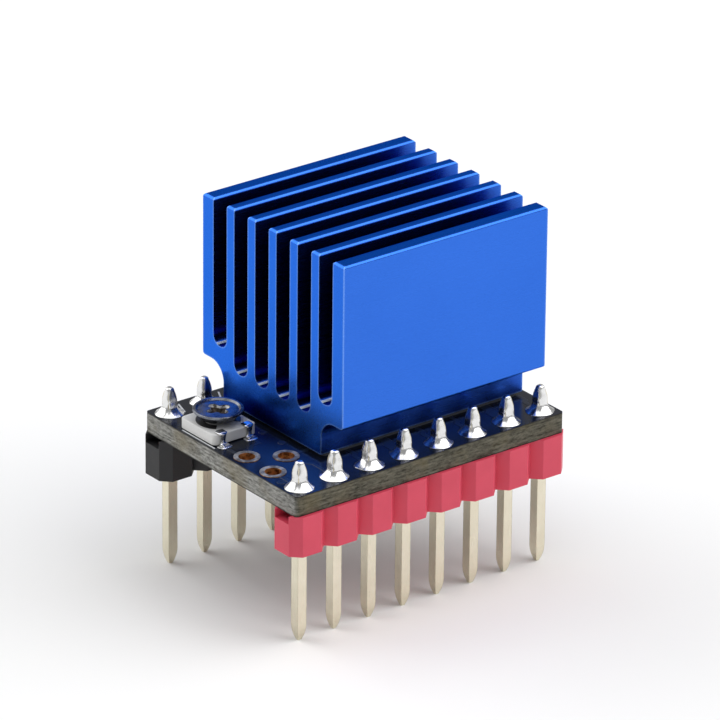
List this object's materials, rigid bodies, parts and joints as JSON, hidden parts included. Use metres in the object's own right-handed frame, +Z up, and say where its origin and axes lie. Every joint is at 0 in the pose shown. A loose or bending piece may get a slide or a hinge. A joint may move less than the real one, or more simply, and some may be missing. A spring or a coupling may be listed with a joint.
{
  "type": "stepper motor driver module",
  "caption": "Small plug-in motor driver board standing on parallel pin headers, with a finned metal heatsink on top and an adjustable trimmer.",
  "frame": {"origin": "on the plane of the pin tips, midway between the two pin rows and midway along them", "axes": "+Z up out of the board towards the fin tips; +X along the pin rows, away from the trimmer; +Y across the board, from the red row to the black row"},
  "size_m": [0.0204, 0.0152, 0.0226],
  "materials": {
    "board": "dark blue-black solder mask over glass-fibre laminate, grey-green fibrous cut edges",
    "blue_anodised": "satin blue anodising with fine extrusion lines",
    "thermal_pad": "soft grey silicone pad",
    "red_housing": "moulded red nylon",
    "black_housing": "moulded black nylon",
    "pin_plating": "pale gold flash over brass",
    "solder": "bright tin solder",
    "hole_plating": "tinned copper rings, copper-brown inside",
    "trimmer_ceramic": "light grey matt carrier",
    "resistive_track": "black printed resistor ink",
    "trimmer_metal": "tinned spring metal",
    "rotor_metal": "pressed nickel-silver sheet",
    "chip_moulding": "black moulding compound",
    "tinned_ends": "matt tin",
    "capacitor_body": "tan ceramic",
    "resistor_body": "black glazed ceramic"
  },
  "bodies": {
    "module": {"barrel_plating_1": "hole_plating", "barrel_plating_2": "hole_plating", "barrel_plating_3": "hole_plating", "board": "board", "charge_capacitor": "capacitor_body", "charge_capacitor_ends": "tinned_ends", "driver_chip": "chip_moulding", "driver_chip_leads": "tinned_ends", "driver_chip_pad": "tinned_ends", "front_housing": "red_housing", "front_pin_1": "pin_plating", "front_pin_2": "pin_plating", "front_pin_3": "pin_plating", "front_pin_4": "pin_plating", "front_pin_5": "pin_plating", "front_pin_6": "pin_plating", "front_pin_7": "pin_plating", "front_pin_8": "pin_plating", "front_solder": "solder", "heatsink": "blue_anodised", "logic_capacitor": "capacitor_body", "logic_capacitor_ends": "tinned_ends", "pull_up_resistor_1": "resistor_body", "pull_up_resistor_1_ends": "tinned_ends", "pull_up_resistor_2": "resistor_body", "pull_up_resistor_2_ends": "tinned_ends", "pump_capacitor": "capacitor_body", "pump_capacitor_ends": "tinned_ends", "rear_housing": "black_housing", "rear_pin_1": "pin_plating", "rear_pin_2": "pin_plating", "rear_pin_3": "pin_plating", "rear_pin_4": "pin_plating", "rear_pin_5": "pin_plating", "rear_pin_6": "pin_plating", "rear_pin_7": "pin_plating", "rear_pin_8": "pin_plating", "rear_solder": "solder", "reference_resistor": "resistor_body", "reference_resistor_ends": "tinned_ends", "sense_resistor_1": "resistor_body", "sense_resistor_1_ends": "tinned_ends", "sense_resistor_2": "resistor_body", "sense_resistor_2_ends": "tinned_ends", "supply_capacitor_1": "capacitor_body", "supply_capacitor_1_ends": "tinned_ends", "supply_capacitor_2": "capacitor_body", "supply_capacitor_2_ends": "tinned_ends", "thermal_pad": "thermal_pad", "trimmer_base": "trimmer_ceramic", "trimmer_pivot": "trimmer_metal", "trimmer_solder": "solder", "trimmer_terminal_left": "trimmer_metal", "trimmer_terminal_right": "trimmer_metal", "trimmer_terminal_wiper": "trimmer_metal", "trimmer_track": "resistive_track"},
    "rotor": {"trimmer_rotor": "rotor_metal", "trimmer_wiper": "trimmer_metal"}
  },
  "joints": [
    {"name": "trimmer_turn", "type": "hinge", "parent": "module", "child": "rotor", "pos_m": [-0.0081, 0.0026, 0.0108], "axis": [0, 0, 1], "range_deg": [-125, 125]}
  ]
}
